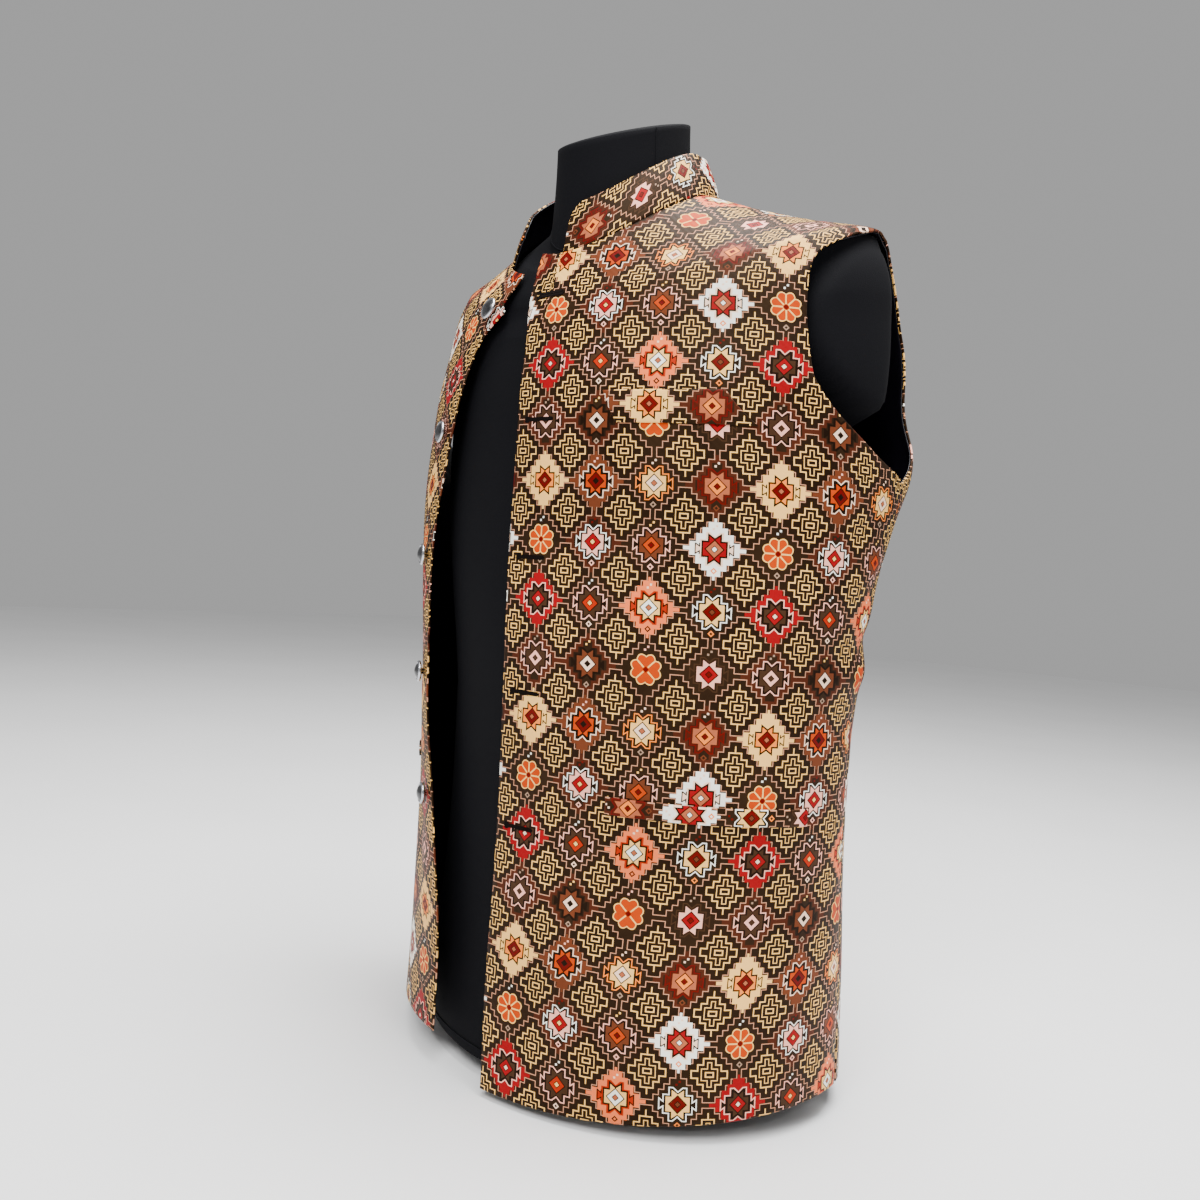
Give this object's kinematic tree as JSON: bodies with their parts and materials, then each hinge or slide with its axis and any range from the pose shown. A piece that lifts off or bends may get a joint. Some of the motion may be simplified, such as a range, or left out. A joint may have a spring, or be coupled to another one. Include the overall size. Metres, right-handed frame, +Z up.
{
  "type": "nehru jacket on a limbless dress form",
  "caption": "Sleeveless band-collar jacket in a printed stepped-diamond cloth, hanging open on a limbless dress form, with side vents, welt pockets and domed metal buttons.",
  "frame": {"origin": "centre of the flat underside of the board that the dress form stands on, on the plane of the jacket's middle", "axes": "+X to the wearer's left, +Y to the wearer's back, +Z up; the front of the jacket faces -Y"},
  "size_m": [0.4517, 0.2989, 0.781],
  "materials": {
    "printed_cloth": "satin printed",
    "lining": "satin",
    "button_metal": "dark dome in a bright rim",
    "torso_jersey": "matt jersey",
    "base_board": "matt"
  },
  "bodies": {
    "root": {"left_front": "printed_cloth", "right_front": "printed_cloth", "back": "printed_cloth", "collar": "printed_cloth", "chest_welt": "printed_cloth", "left_pocket_welt": "printed_cloth", "right_pocket_welt": "printed_cloth", "left_front_lining": "lining", "right_front_lining": "lining", "back_lining": "lining", "collar_lining": "lining", "button_1": "button_metal", "button_2": "button_metal", "button_3": "button_metal", "button_4": "button_metal", "button_5": "button_metal", "torso": "torso_jersey", "torso_base": "base_board"}
  },
  "joints": []
}
